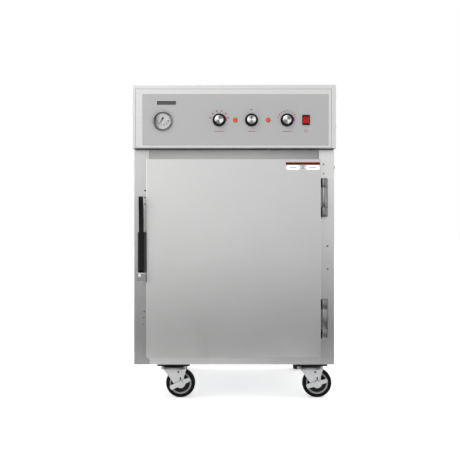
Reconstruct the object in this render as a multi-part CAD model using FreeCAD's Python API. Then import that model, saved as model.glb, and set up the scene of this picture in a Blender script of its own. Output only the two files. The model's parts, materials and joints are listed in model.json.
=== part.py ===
"""Countertop-height proofing cabinet on casters: insulated body, overlay door, control head."""
import FreeCAD, Part
import os
from math import cos, pi, radians, sin
from FreeCAD import Vector

# ---- Driving dimensions (mm). +Z up, front towards -Y, origin on the floor under the middle ----
CASE_WIDTH = 600.0
HALF = CASE_WIDTH / 2
FRONT_Y = -375.0        # front plane of the head and of the closed door
FRAME_SETBACK = 52.0    # the body's face frame lies this far behind the front plane
REAR_Y = 412.0
BODY_BOTTOM = 108.0     # equals the overall height of the casters
BODY_TOP = 750.0
HEAD_BOTTOM = 752.4
HEAD_TOP = 939.0
SHEET = 1.0
WALL = 38.0             # outer skin to chamber wall
STILE_WIDTH = 46.0
RAIL_SEAM = 1.0
RELIEF_X = 256.5
RELIEF_Z = 128.0
RELIEF_SIZE = (8.0, 7.0)
OPENING_BOTTOM = 150.0
OPENING_TOP = 700.0
FRAME_Y = FRONT_Y + FRAME_SETBACK

# Door
DOOR_LEFT = -259.5
DOOR_RIGHT = 255.5
DOOR_BOTTOM = 135.5
DOOR_TOP = 719.5
DOOR_THICKNESS = 48.0
DOOR_BACK = FRONT_Y + DOOR_THICKNESS
GASKET_WIDTH = 16.0
SEAL_GAP = 0.3

# Hinges: edge mounted, three knuckles each
HINGE_X = 266.0
HINGE_Y = FRONT_Y + 9.0
KNUCKLE_R = 8.5
PIN_R = 3.0
RUNNING = 0.05
HINGE_CENTRES = (607.3, 247.8)
HINGE_HEIGHT = 114.3
KNUCKLE_MIDDLE = 58.4
KNUCKLE_GAP = 0.4

# Latch: edge mounted body with a long lever
LATCH_RIGHT = DOOR_LEFT
LATCH_LEFT = -284.0
LATCH_BOTTOM = 357.0
LATCH_TOP = 505.0
LATCH_FOOT = 30.0
LATCH_FOOT_FRONT = FRONT_Y - 18.0
SHROUD_LEFT = -283.0
SHROUD_FRONT = FRONT_Y - 14.0
LEVER_LEFT = -279.0
LEVER_RIGHT = -266.2
LEVER_TOP = 609.0
LATCH_PIVOT_Y = -381.0
LATCH_PIVOT_Z = 372.0
LEVER_BAR_BOTTOM = 393.5
LATCH_SCREW_X = -277.0
LATCH_SCREW_R = 3.8

# Control head
PANEL_LEFT = -290.5
PANEL_RIGHT = 286.0
PANEL_BOTTOM = 753.6
PANEL_TOP = 926.0
PANEL_SEAM = 0.7
HOOD_SEAM = 0.05
ROOF_EDGE = 2.0
OVERLAY_LEFT = -270.7
OVERLAY_RIGHT = 278.1
OVERLAY_BOTTOM = 759.8
OVERLAY_TOP = 911.4
OVERLAY_SHEET = 0.4
CONTROL_Z = 834.8
KNOB_X = (-44.6, 50.8, 155.3)
KNOB_NAMES = ("left_knob", "centre_knob", "right_knob")
SKIRT_R = 19.2
GRIP_R = 13.4
KNOB_DEPTH = 14.0
FLUTES = 24
SHAFT_R = 3.0
BUSHING_R = 4.75
LAMP_X = (3.1, 99.7)
LAMP_R = 6.6
SWITCH_X = 211.4
SWITCH_WIDTH = 22.0
SWITCH_HEIGHT = 29.5
ROCKER_WIDTH = 17.0
ROCKER_HEIGHT = 20.4
ROCKER_PIVOT_R = 1.2
ROCKER_PIVOT_Y = FRONT_Y + 1.6
GAUGE_X = -210.9
GAUGE_Z = 832.2
GAUGE_R = 29.2
GAUGE_BODY_R = 25.5
NEEDLE_PIVOT_Z = 840.0
NEEDLE_LENGTH = 19.5
NEEDLE_LEAN = 31.0      # degrees from straight down, towards -X

# Air and water
FAN_X = 0.0
FAN_Y = 60.0
FAN_R = 62.0
FAN_HEIGHT = 26.0
PLENUM_HALF = 190.0
PLENUM_BOTTOM = 655.0
HEATER_RING_R = 95.0
ELEMENT_R = 4.0

# Pan slides
SLIDE_COUNT = 7
SLIDE_PITCH = 62.0
FIRST_SLIDE = 236.0
SLIDE_LEDGE = 34.0
SLIDE_SHEET = 1.2
SLIDE_LIP = 15.0
SLIDE_FRONT = -290.0
SLIDE_REAR = 350.0
UPRIGHT_Y = (-220.0, 280.0)
RACK_OUTER = 258.0
RACK_INNER = 249.0
RACK_SEAM = 0.05

# Casters
WHEEL_R = 44.5
WHEEL_WIDTH = 27.0
CASTER_LEAD = 20.0
CASTER_X = (-183.5, 233.0)
CASTER_Y = (-256.0, 345.0)
CASTER_PLATE = (98.0, 90.0, 8.0)
AXLE_R = 5.0
RACE_R = 31.0
CROWN_R = 41.0
FORK_TOP = 97.0
FORK_SHEET = 2.6
FORK_GAP = 32.0
BRAKE_TILTS = {"front_left": 25.0, "front_right": 17.0}

# Cord gland in the head's back
GLAND_X = 230.0
GLAND_Z = 800.0
GLAND_R = 9.0
GLAND_FLANGE_R = 13.0
CORD_BORE_R = 5.5

# Vents in the right side
VENT_Y = -272.0
VENT_HOLE_R = 7.0
VENT_HOLES_Y = (VENT_Y - 14.0, VENT_Y + 14.0)
VENT_SCREWS_Y = (VENT_Y - 25.5, VENT_Y + 25.5)
VENT_TRAVEL = 20.0
VENT_HOLE_Z = 690.0
VENT_SCREW_Z = 700.0
LOUVRE_BOTTOM = 842.0
LOUVRE_TOP = 890.0

X_AXIS = Vector(1, 0, 0)
Y_AXIS = Vector(0, 1, 0)
Z_AXIS = Vector(0, 0, 1)


# ---- Shape helpers ----
def block(x0, x1, y0, y1, z0, z1):
    return Part.makeBox(x1 - x0, y1 - y0, z1 - z0, Vector(x0, y0, z0))


def rod(radius, start, direction, length):
    return Part.makeCylinder(radius, length, Vector(*start), direction)


def ring(outer, inner, start, direction, length):
    return rod(outer, start, direction, length).cut(rod(inner, start, direction, length))


def fuse(pieces):
    whole = pieces[0].multiFuse(pieces[1:])
    return whole.removeSplitter()


def rounded(shape, radius, direction, keep=lambda edge: True):
    """Round every straight edge that runs along direction."""
    chosen = [
        edge
        for edge in shape.Edges
        if len(edge.Vertexes) == 2
        and abs(edge.tangentAt(edge.FirstParameter).dot(direction)) > 0.999
        and isinstance(edge.Curve, Part.Line)
        and keep(edge)
    ]
    return shape.makeFillet(radius, chosen)


def near_corner(edge, x, y):
    """True for an upright edge that stands at x and y."""
    box = edge.BoundBox
    return abs(box.XMin - x) < 0.1 and abs(box.YMin - y) < 0.1


def prism(points, direction, length):
    """A flat outline of straight sides, raised along direction."""
    corners = [Vector(*point) for point in points]
    return Part.Face(Part.makePolygon(corners + corners[:1])).extrude(direction * length)


def tray(x0, x1, y0, y1, z0, z1, thickness):
    """An open-topped tray."""
    outer = block(x0, x1, y0, y1, z0, z1)
    inner = block(x0 + thickness, x1 - thickness, y0 + thickness, y1 - thickness, z0 + thickness, z1)
    return outer.cut(inner)


def turned(outline, centre, direction):
    """A solid of revolution: outline is (radius, height) points about direction."""
    axis = Vector(*direction)
    side = X_AXIS if abs(axis.dot(X_AXIS)) < 0.5 else Y_AXIS
    base = Vector(*centre)
    corners = [base + side * radius + axis * height for radius, height in outline]
    face = Part.Face(Part.makePolygon(corners + corners[:1]))
    return face.revolve(base, axis, 360)


def screw_head(radius, height, centre, direction):
    """A domed screw head on a surface, at centre, pointing along direction."""
    axis = Vector(*direction)
    ball_r = (radius * radius + height * height) / (2 * height)
    ball = Part.makeSphere(ball_r, Vector(*centre) + axis * (height - ball_r))
    return ball.common(rod(radius * 1.2, centre, axis, height * 1.5))


# ---- Body ----
def corner_reliefs():
    """Small square openings where the stiles meet the bottom rail, under the door's lower corners."""
    w = RELIEF_SIZE[0] / 2
    h = RELIEF_SIZE[1] / 2
    y0 = FRAME_Y - 1
    y1 = FRAME_Y + SHEET + 1
    return [block(x - w, x + w, y0, y1, RELIEF_Z - h, RELIEF_Z + h) for x in (-RELIEF_X, RELIEF_X)]


def side_panel(side):
    """Outer skin, folded at the front into the stile and at the rear into a flange."""
    skin = HALF - SHEET
    inner = HALF - STILE_WIDTH
    pieces = [
        block(skin, HALF, FRAME_Y, REAR_Y, BODY_BOTTOM, BODY_TOP),
        block(inner, skin, FRAME_Y, FRAME_Y + SHEET, BODY_BOTTOM, BODY_TOP),
        block(inner, inner + SHEET, FRAME_Y + SHEET, FRAME_Y + 14, OPENING_BOTTOM, OPENING_TOP),
        block(skin - 20, skin, REAR_Y - 2 * SHEET, REAR_Y - SHEET, BODY_BOTTOM + 24, BODY_TOP - 4),
    ]
    panel = fuse(pieces)
    panel = rounded(panel, 1.6, Z_AXIS, lambda e: near_corner(e, HALF, FRAME_Y)).cut(corner_reliefs()[1])
    if side < 0:
        return panel.mirror(Vector(0, 0, 0), X_AXIS)
    return panel.cut(vent_ducts())


def vent_ducts():
    """The two air holes through the right wall."""
    holes = [
        rod(VENT_HOLE_R, (HALF - WALL - 4, y, VENT_HOLE_Z), X_AXIS, WALL + 10)
        for y in VENT_HOLES_Y
    ]
    return holes[0].fuse(holes[1])


def rear_panel():
    plate = block(-HALF + SHEET, HALF - SHEET, REAR_Y - SHEET, REAR_Y, BODY_BOTTOM, BODY_TOP)
    flange = block(-HALF + SHEET, HALF - SHEET, REAR_Y - 14, REAR_Y - SHEET, BODY_TOP - 3, BODY_TOP - 2)
    return fuse([plate, flange])


def base_tray():
    """Floor pan of the body, with upturned sides and holes for the caster bolts."""
    x = HALF - SHEET
    front = FRAME_Y + SHEET
    rear = REAR_Y - 2 * SHEET - 0.2
    pan = tray(-x, x, front, rear, BODY_BOTTOM, BODY_BOTTOM + 20, SHEET)
    holes = [rod(3.4, (bx, by, BODY_BOTTOM - 1), Z_AXIS, 4) for bx, by in caster_bolt_places()]
    return pan.cut(holes[0].multiFuse(holes[1:]))


def top_deck():
    """Sheet that closes the body's top, with the opening for the fan shaft and element legs."""
    x = HALF - SHEET
    deck = block(-x, x, FRAME_Y + SHEET, REAR_Y - 14, BODY_TOP - SHEET, BODY_TOP)
    holes = [rod(9.0, (FAN_X, FAN_Y, BODY_TOP - 2), Z_AXIS, 4)]
    holes += [rod(ELEMENT_R + 1, (x, y, BODY_TOP - 2), Z_AXIS, 4) for x, y in element_legs()]
    return deck.cut(holes[0].multiFuse(holes[1:]))


def rail(bottom, top, lip):
    """A front rail between the stiles; its lip turns back into the door opening."""
    x = HALF - STILE_WIDTH - RAIL_SEAM
    face = block(-x, x, FRAME_Y, FRAME_Y + SHEET, bottom, top)
    edge = block(-x, x, FRAME_Y + SHEET, FRAME_Y + 14, lip, lip + SHEET)
    return fuse([face, edge]).cut(corner_reliefs()[0].multiFuse(corner_reliefs()[1:]))


def inner_liner():
    """The chamber: five walls of thin sheet, open at the front."""
    x = HALF - WALL
    front = FRAME_Y + 14.2
    rear = REAR_Y - WALL
    outer = block(-x - SHEET, x + SHEET, front, rear + SHEET, OPENING_BOTTOM - 5, OPENING_TOP + 5)
    inner = block(-x, x, front, rear, OPENING_BOTTOM - 4, OPENING_TOP + 4)
    liner = outer.cut(inner)
    holes = [rod(7.0, (FAN_X, FAN_Y, OPENING_TOP), Z_AXIS, 8)]
    holes += [rod(ELEMENT_R + 0.5, (x, y, OPENING_TOP), Z_AXIS, 8) for x, y in element_legs()]
    return liner.cut(holes[0].multiFuse(holes[1:])).cut(vent_ducts())


def wall_insulation():
    """Insulation between the outer skins and the chamber, open at the front."""
    gap = 0.3
    x = HALF - SHEET - gap
    liner_x = HALF - WALL + SHEET + gap
    front = FRAME_Y + 14.4
    rear = REAR_Y - 4 * SHEET
    outer = block(-x + SHEET, x - SHEET, front, rear, BODY_BOTTOM + SHEET + gap, BODY_TOP - 3.4)
    inner = block(
        -liner_x, liner_x, front - 1, REAR_Y - WALL + SHEET + gap, OPENING_BOTTOM - 5.3, OPENING_TOP + 5.3
    )
    wool = outer.cut(inner)
    holes = [rod(10.0, (FAN_X, FAN_Y, OPENING_TOP), Z_AXIS, 60)]
    holes += [rod(ELEMENT_R + 1, (x, y, OPENING_TOP), Z_AXIS, 60) for x, y in element_legs()]
    return wool.cut(holes[0].multiFuse(holes[1:])).cut(vent_ducts())


# ---- Head ----
def louvre_places():
    """Front edge of each louvre in the head's side vent."""
    return [VENT_Y - 60 + 12 * i for i in range(5)]


def hood_sheets():
    """Flat blocks that the hood's roof, sides, back and front strips are cut from."""
    edge = HEAD_TOP - ROOF_EDGE
    top = edge - HOOD_SEAM
    front = FRONT_Y + SHEET
    rear = REAR_Y - SHEET
    brow = PANEL_TOP + PANEL_SEAM
    left = PANEL_LEFT - PANEL_SEAM
    right = PANEL_RIGHT + PANEL_SEAM
    inner = HALF - SHEET
    y0 = front + HOOD_SEAM
    y1 = rear - HOOD_SEAM
    return [
        block(-HALF, HALF, FRONT_Y, REAR_Y, edge, HEAD_TOP),
        block(-HALF, -inner, y0, y1, HEAD_BOTTOM, top),
        block(inner, HALF, y0, y1, HEAD_BOTTOM, top),
        block(-HALF, HALF, rear, REAR_Y, HEAD_BOTTOM, top),
        block(-HALF, HALF, FRONT_Y, front, brow, top),
        block(-HALF, left, FRONT_Y, front, HEAD_BOTTOM, brow - HOOD_SEAM),
        block(right, HALF, FRONT_Y, front, HEAD_BOTTOM, brow - HOOD_SEAM),
    ]


def head_hood():
    """Roof, sides, back and front strips of the control head, with slots in the back and right side."""
    outer = block(-HALF, HALF, FRONT_Y, REAR_Y, HEAD_BOTTOM, HEAD_TOP)
    outer = rounded(outer, 1.6, Y_AXIS, lambda e: e.BoundBox.ZMin > HEAD_TOP - 1)
    outer = rounded(outer, 1.6, X_AXIS, lambda e: e.BoundBox.ZMin > HEAD_TOP - 1 and e.BoundBox.YMax < 0)
    x = HALF - SHEET
    hollow = block(-x, x, FRONT_Y + SHEET, REAR_Y - SHEET, HEAD_BOTTOM - 1, HEAD_TOP - SHEET)
    slots = [
        rounded(block(x - 3, x + 3, REAR_Y - 5, REAR_Y + 5, 850, 900), 2.9, Y_AXIS)
        for x in range(-120, 121, 20)
    ]
    gland = rod(GLAND_R + RUNNING, (GLAND_X, REAR_Y - 5, GLAND_Z), Y_AXIS, 10)
    side_slots = [block(HALF - 3, HALF + 3, y, y + 6, LOUVRE_BOTTOM, LOUVRE_TOP) for y in louvre_places()]
    hood = outer.cut(hollow).cut(slots[0].multiFuse(slots[1:] + [gland] + side_slots))
    sheets = [solid for sheet in hood_sheets() for solid in hood.common(sheet).Solids]
    return Part.makeCompound(sheets)


def head_floor():
    """Floor of the head: it overhangs the body's face frame at the front."""
    x = HALF - SHEET - 0.2
    plate = block(-x, x, FRONT_Y + 2.4, REAR_Y - SHEET - 0.2, HEAD_BOTTOM, HEAD_BOTTOM + SHEET)
    foot = block(-x + 12, x - 12, FRAME_Y + 20, REAR_Y - 20, BODY_TOP, HEAD_BOTTOM)
    foot = foot.cut(block(-x + 32, x - 32, FRAME_Y + 40, REAR_Y - 40, BODY_TOP - 1, HEAD_BOTTOM + 1))
    holes = [rod(9.0, (FAN_X, FAN_Y, HEAD_BOTTOM - 1), Z_AXIS, 4)]
    holes += [rod(ELEMENT_R + 1, (ex, ey, HEAD_BOTTOM - 1), Z_AXIS, 4) for ex, ey in element_legs()]
    return fuse([plate, foot]).cut(holes[0].multiFuse(holes[1:]))


def control_openings(depth):
    """Everything that passes through the panel and its overlay."""
    start = FRONT_Y - 2
    cuts = [rod(BUSHING_R + 0.2, (x, start, CONTROL_Z), Y_AXIS, depth) for x in KNOB_X]
    cuts += [rod(LAMP_R - 1.2, (x, start, CONTROL_Z), Y_AXIS, depth) for x in LAMP_X]
    cuts.append(rod(GAUGE_BODY_R + 0.3, (GAUGE_X, start, GAUGE_Z), Y_AXIS, depth))
    w = SWITCH_WIDTH / 2 - 1.5
    h = SWITCH_HEIGHT / 2 - 1.5
    cuts.append(block(SWITCH_X - w, SWITCH_X + w, start, start + depth, CONTROL_Z - h, CONTROL_Z + h))
    return cuts[0].multiFuse(cuts[1:])


def control_panel():
    """Flat front panel of the head, with a fold at its bottom edge."""
    face = block(PANEL_LEFT, PANEL_RIGHT, FRONT_Y, FRONT_Y + SHEET, PANEL_BOTTOM, PANEL_TOP)
    fold = block(PANEL_LEFT, PANEL_RIGHT, FRONT_Y + SHEET, FRONT_Y + 13, PANEL_BOTTOM, PANEL_BOTTOM + SHEET)
    return fuse([face, fold]).cut(control_openings(6))


def fascia_overlay():
    face = block(OVERLAY_LEFT, OVERLAY_RIGHT, FRONT_Y - OVERLAY_SHEET, FRONT_Y, OVERLAY_BOTTOM, OVERLAY_TOP)
    face = rounded(face, 2.5, Y_AXIS)
    return face.cut(control_openings(6))


def thermometer_case():
    """Bezel in front of the panel, cup behind it and the threaded stem at the back."""
    face_y = FRONT_Y - OVERLAY_SHEET
    outline = [
        (GAUGE_BODY_R - 1.5, -0.8), (GAUGE_R - 2.4, -6.0), (GAUGE_R - 0.6, -5.0), (GAUGE_R, -3.2),
        (GAUGE_R, -0.05), (GAUGE_BODY_R, -0.05), (GAUGE_BODY_R, 22.0), (0.0, 22.0), (0.0, 20.0),
        (GAUGE_BODY_R - 1.5, 20.0),
    ]
    cup = turned(outline, (GAUGE_X, face_y, GAUGE_Z), Y_AXIS)
    stem = rod(6.0, (GAUGE_X, face_y + 22.0, GAUGE_Z), Y_AXIS, 16)
    return fuse([cup, stem])


def thermometer_dial():
    return rod(GAUGE_BODY_R - 1.8, (GAUGE_X, FRONT_Y + 2.4, GAUGE_Z), Y_AXIS, 0.8)


def thermometer_lens():
    return rod(GAUGE_BODY_R - 1.8, (GAUGE_X, FRONT_Y - 2.9, GAUGE_Z), Y_AXIS, 1.6)


def thermometer_needle():
    """A tapered pointer with a hub; it swings about a pivot above the middle of the dial."""
    y = FRONT_Y + 0.6
    right = [(0.8, 5.0), (1.5, 0.0), (0.35, -NEEDLE_LENGTH)]
    outline = right + [(-x, z) for x, z in reversed(right)]
    pointer = prism([(GAUGE_X + x, y, NEEDLE_PIVOT_Z + z) for x, z in outline], Y_AXIS, 0.6)
    hub = rod(3.0, (GAUGE_X, y - 0.5, NEEDLE_PIVOT_Z), Y_AXIS, 1.6)
    needle = fuse([pointer, hub])
    needle.rotate(Vector(GAUGE_X, 0, NEEDLE_PIVOT_Z), Y_AXIS, NEEDLE_LEAN)
    return needle


def rotary_control(x, width, height, depth):
    """Housing behind the panel with a bushing that guides the knob's shaft."""
    back = FRONT_Y + SHEET
    z = CONTROL_Z - height / 2
    housing = block(x - width / 2, x + width / 2, back + 0.2, back + depth, z, z + height)
    body = rounded(housing, 3.0, Y_AXIS)
    bushing = rod(BUSHING_R, (x, FRONT_Y - 4.0, CONTROL_Z), Y_AXIS, 4.0 + SHEET + 2)
    bore = rod(SHAFT_R + RUNNING, (x, FRONT_Y - 5, CONTROL_Z), Y_AXIS, 5 + depth - 4)
    tabs = [
        block(x - 3, x + 3, back + depth, back + depth + 8, CONTROL_Z + z - 0.4, CONTROL_Z + z + 0.4)
        for z in (-9.0, 9.0)
    ]
    return fuse([body, bushing] + tabs).cut(bore)


def knob(x):
    """Skirted knob: a flared skirt, a fluted grip, and the shaft that it turns."""
    back = FRONT_Y - OVERLAY_SHEET - 0.8
    outline = [
        (0.0, 0.0), (SKIRT_R - 0.8, 0.0), (SKIRT_R, -0.8), (SKIRT_R, -2.6), (SKIRT_R - 1.4, -4.0),
        (GRIP_R + 1.6, -6.0), (GRIP_R + 0.4, -8.0), (GRIP_R, 1.4 - KNOB_DEPTH),
        (GRIP_R - 1.4, -KNOB_DEPTH), (0.0, -KNOB_DEPTH),
    ]
    body = turned(outline, (x, back, CONTROL_Z), Y_AXIS)
    reach = GRIP_R + 0.7
    front = back - KNOB_DEPTH - 1
    flutes = [
        rod(1.0, (x + reach * cos(a), front, CONTROL_Z + reach * sin(a)), Y_AXIS, KNOB_DEPTH - 7.0)
        for a in [2 * pi * i / FLUTES for i in range(FLUTES)]
    ]
    recess = rod(BUSHING_R + 0.9, (x, back - 5.0, CONTROL_Z), Y_AXIS, 6)
    shaft = rod(SHAFT_R, (x, back - 8, CONTROL_Z), Y_AXIS, 24)
    return fuse([body.cut(flutes[0].multiFuse(flutes[1:] + [recess])), shaft])


def indicator_lamps():
    lamps = []
    for x in LAMP_X:
        face_y = FRONT_Y - OVERLAY_SHEET
        outline = [
            (0.0, -3.6), (2.6, -3.2), (4.6, -2.0), (LAMP_R - 1.6, -1.4), (LAMP_R - 0.4, -1.4),
            (LAMP_R, -0.9), (LAMP_R, -0.05), (LAMP_R - 1.4, -0.05), (LAMP_R - 1.4, 18.0), (0.0, 18.0),
        ]
        lamps.append(turned(outline, (x, face_y, CONTROL_Z), Y_AXIS))
    return Part.makeCompound(lamps)


def upright_box(width, height, y0, y1):
    """A block centred on the power switch."""
    x = SWITCH_X - width / 2
    z = CONTROL_Z - height / 2
    return block(x, x + width, y0, y1, z, z + height)


def switch_body():
    """Bezel and housing of the power switch, hollow in front for the rocker."""
    face_y = FRONT_Y - OVERLAY_SHEET
    back = face_y + 22
    bezel = upright_box(SWITCH_WIDTH, SWITCH_HEIGHT, face_y - 2.2, face_y - 0.05)
    bezel = rounded(bezel, 1.6, Y_AXIS)
    can = upright_box(SWITCH_WIDTH - 3.6, SWITCH_HEIGHT - 3.6, face_y - 0.05, back)
    well = upright_box(ROCKER_WIDTH + 0.7, ROCKER_HEIGHT + 2.0, face_y - 3, face_y + 13)
    tabs = [block(x - 0.4, x + 0.4, back, back + 8, CONTROL_Z - 8, CONTROL_Z - 2)
            for x in (SWITCH_X - 4.0, SWITCH_X + 4.0)]
    start = (SWITCH_X - SWITCH_WIDTH / 2, ROCKER_PIVOT_Y, CONTROL_Z)
    pivot = rod(ROCKER_PIVOT_R + RUNNING, start, X_AXIS, SWITCH_WIDTH)
    return fuse([bezel, can] + tabs).cut(well).cut(pivot)


def power_rocker():
    """Rocker with two faces that meet in a shallow V, on a pivot along X."""
    face_y = FRONT_Y - OVERLAY_SHEET
    h = ROCKER_HEIGHT / 2
    y = face_y - 2.6
    outline = [
        (y + 1.6, -h), (y - 0.6, -h + 1.0), (y + 0.4, 0.0), (y - 2.2, h - 1.0), (y + 1.6, h),
        (y + 6.0, h - 4.0), (y + 9.0, 2.0), (y + 9.0, -2.0), (y + 6.0, -h + 4.0),
    ]
    points = [(SWITCH_X - ROCKER_WIDTH / 2, py, CONTROL_Z + pz) for py, pz in outline]
    body = prism(points, X_AXIS, ROCKER_WIDTH)
    reach = ROCKER_WIDTH / 2 + 0.7
    pivot = rod(ROCKER_PIVOT_R, (SWITCH_X - reach, ROCKER_PIVOT_Y, CONTROL_Z), X_AXIS, 2 * reach)
    return fuse([body, pivot])


def side_vent_plate():
    """Louvred plate on the head's right side, near the front."""
    y0 = VENT_Y - 70
    plate = block(HALF, HALF + 1.2, y0, y0 + 76, 807, 918)
    face = HALF + 1.2
    louvres = [
        prism(
            [(face, y, LOUVRE_BOTTOM), (face + 2.4, y + 7, LOUVRE_BOTTOM), (face, y + 7, LOUVRE_BOTTOM)],
            Z_AXIS, LOUVRE_TOP - LOUVRE_BOTTOM,
        )
        for y in louvre_places()
    ]
    return fuse([plate] + louvres)


# ---- Air, heat and water ----
def element_legs():
    """Where the air heater's two legs rise through the chamber's ceiling."""
    return [(FAN_X + HEATER_RING_R, FAN_Y - 12), (FAN_X + HEATER_RING_R, FAN_Y + 12)]


def fan_motor():
    """Motor on the head's floor; its flange stands on three short posts."""
    base = HEAD_BOTTOM + SHEET
    can = rod(42.0, (FAN_X, FAN_Y, base + 12), Z_AXIS, 62)
    cap = rod(14.0, (FAN_X, FAN_Y, base + 74), Z_AXIS, 8)
    flange = rod(56.0, (FAN_X, FAN_Y, base + 10), Z_AXIS, 2.5)
    posts = [
        rod(4.0, (FAN_X + 49 * cos(a), FAN_Y + 49 * sin(a), base), Z_AXIS, 11)
        for a in [pi / 6 + 2 * pi * i / 3 for i in range(3)]
    ]
    bore = rod(SHAFT_R + 1.0 + RUNNING, (FAN_X, FAN_Y, base), Z_AXIS, 40)
    return fuse([can, cap, flange] + posts).cut(bore)


def fan_wheel():
    """Centrifugal wheel: back plate, blades and inlet ring, on the motor's shaft."""
    top = OPENING_TOP - 6
    disc = rod(FAN_R, (FAN_X, FAN_Y, top - 1.5), Z_AXIS, 1.5)
    inlet = ring(FAN_R, FAN_R - 12, (FAN_X, FAN_Y, top - FAN_HEIGHT), Z_AXIS, 1.5)
    blades = []
    tip = FAN_X + FAN_R - 1
    for i in range(16):
        blade = block(tip - 15, tip, FAN_Y - 0.6, FAN_Y + 0.6, top - FAN_HEIGHT + 1, top - 1)
        blade.rotate(Vector(FAN_X + FAN_R - 8, FAN_Y, 0), Z_AXIS, 35)
        blade.rotate(Vector(FAN_X, FAN_Y, 0), Z_AXIS, i * 22.5)
        blades.append(blade)
    hub = rod(11.0, (FAN_X, FAN_Y, top - 14), Z_AXIS, 14)
    shaft = rod(SHAFT_R + 1.0, (FAN_X, FAN_Y, top - 10), Z_AXIS, HEAD_BOTTOM + 30 - top + 10)
    return fuse([disc, inlet, hub, shaft] + blades)


def fan_plenum():
    """Sheet box under the ceiling: air enters the round hole and leaves at the two open sides."""
    x0 = FAN_X - PLENUM_HALF
    x1 = FAN_X + PLENUM_HALF
    y0 = FAN_Y - 150
    y1 = FAN_Y + 150
    floor = block(x0, x1, y0, y1, PLENUM_BOTTOM, PLENUM_BOTTOM + SHEET)
    floor = floor.cut(rod(FAN_R - 10, (FAN_X, FAN_Y, PLENUM_BOTTOM - 1), Z_AXIS, 4))
    front = block(x0, x1, y0, y0 + SHEET, PLENUM_BOTTOM, OPENING_TOP + 3.6)
    back = block(x0, x1, y1 - SHEET, y1, PLENUM_BOTTOM, OPENING_TOP + 3.6)
    return fuse([floor, front, back])


def air_heater():
    """Tubular element bent round the fan wheel, with two legs up into the head."""
    ring_z = OPENING_TOP - 20
    loop = Part.makeTorus(HEATER_RING_R, ELEMENT_R, Vector(FAN_X, FAN_Y, ring_z))
    gap = block(FAN_X + 70, FAN_X + 120, FAN_Y - 12, FAN_Y + 12, ring_z - 10, ring_z + 10)
    legs = [rod(ELEMENT_R, (x, y, ring_z), Z_AXIS, HEAD_BOTTOM + 16 - ring_z) for x, y in element_legs()]
    knees = [Part.makeSphere(ELEMENT_R, Vector(x, y, ring_z)) for x, y in element_legs()]
    return fuse([loop.cut(gap)] + legs + knees)


def water_heater():
    """Flat hairpin element on the chamber floor under the water pan."""
    z = OPENING_BOTTOM - 4 + ELEMENT_R + 2
    runs = []
    for i in range(4):
        x = -60 + 40 * i
        runs.append(rod(ELEMENT_R, (x, -120, z), Y_AXIS, 200))
        runs.append(Part.makeSphere(ELEMENT_R, Vector(x, -120, z)))
        runs.append(Part.makeSphere(ELEMENT_R, Vector(x, 80, z)))
    for i in range(3):
        x = -60 + 40 * i
        runs.append(rod(ELEMENT_R, (x, -120 if i % 2 else 80, z), X_AXIS, 40))
    return fuse(runs)


def water_pan():
    """Open pan for the humidity water, standing on two runners over its element."""
    floor_z = OPENING_BOTTOM - 4
    pan = tray(-130, 130, -170, 130, floor_z + 13, floor_z + 62, SHEET)
    rim = block(-138, 138, -178, 138, floor_z + 61, floor_z + 62)
    rim = rim.cut(block(-129, 129, -169, 129, floor_z + 60, floor_z + 63))
    runners = [block(x - 6, x + 6, -160, 120, floor_z, floor_z + 14) for x in (-110, 110)]
    return fuse([pan, rim] + runners)


def pan_rack(side):
    """Two uprights with angle slides that carry sheet pans; each slide is a lip above a ledge."""
    top = FIRST_SLIDE + SLIDE_PITCH * (SLIDE_COUNT - 1) + SLIDE_LIP + 1
    slide_x = RACK_INNER - RACK_SEAM
    pieces = [
        block(RACK_INNER, RACK_OUTER, y - 12, y + 12, OPENING_BOTTOM - 4, top) for y in UPRIGHT_Y
    ]
    for i in range(SLIDE_COUNT):
        z = FIRST_SLIDE + SLIDE_PITCH * i
        lip_x = RACK_INNER - SLIDE_SHEET
        ledge_x = RACK_INNER - SLIDE_LEDGE
        pieces.append(block(lip_x, slide_x, SLIDE_FRONT, SLIDE_REAR, z + RACK_SEAM, z + SLIDE_LIP))
        pieces.append(block(ledge_x, slide_x, SLIDE_FRONT, SLIDE_REAR, z - SLIDE_SHEET, z))
    rack = Part.makeCompound(pieces)
    return rack if side > 0 else rack.mirror(Vector(0, 0, 0), X_AXIS)


# ---- Door ----
def door_block(inset, y0, y1):
    """The door's outline, inset on its four edges."""
    return block(DOOR_LEFT + inset, DOOR_RIGHT - inset, y0, y1, DOOR_BOTTOM + inset, DOOR_TOP - inset)


def door_outer_skin():
    """Front sheet with its four edges folded back."""
    outer = door_block(0.0, FRONT_Y, DOOR_BACK - 6)
    outer = rounded(outer, 1.8, Z_AXIS, lambda e: e.BoundBox.YMax < FRONT_Y + 0.1)
    return outer.cut(door_block(SHEET, FRONT_Y + SHEET, DOOR_BACK + 1))


def door_inner_pan():
    """Back sheet of the door, with its edges folded forward to meet the outer skin."""
    hollow = door_block(SHEET, DOOR_BACK - 7, DOOR_BACK - SHEET)
    return door_block(0.0, DOOR_BACK - 5.8, DOOR_BACK).cut(hollow)


def door_insulation():
    return door_block(1.4, FRONT_Y + 1.4, DOOR_BACK - 1.4)


def door_gasket():
    """Hollow seal round the door's back."""
    x0 = DOOR_LEFT + 6
    x1 = DOOR_RIGHT - 6
    z0 = DOOR_BOTTOM + 4
    z1 = DOOR_TOP - 4
    y0 = DOOR_BACK + 0.05
    y1 = FRAME_Y - SEAL_GAP
    outer = rounded(block(x0, x1, y0, y1, z0, z1), 8.0, Y_AXIS)
    w = GASKET_WIDTH
    return outer.cut(block(x0 + w, x1 - w, y0 - 1, y1 + 1, z0 + w, z1 - w))


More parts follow.
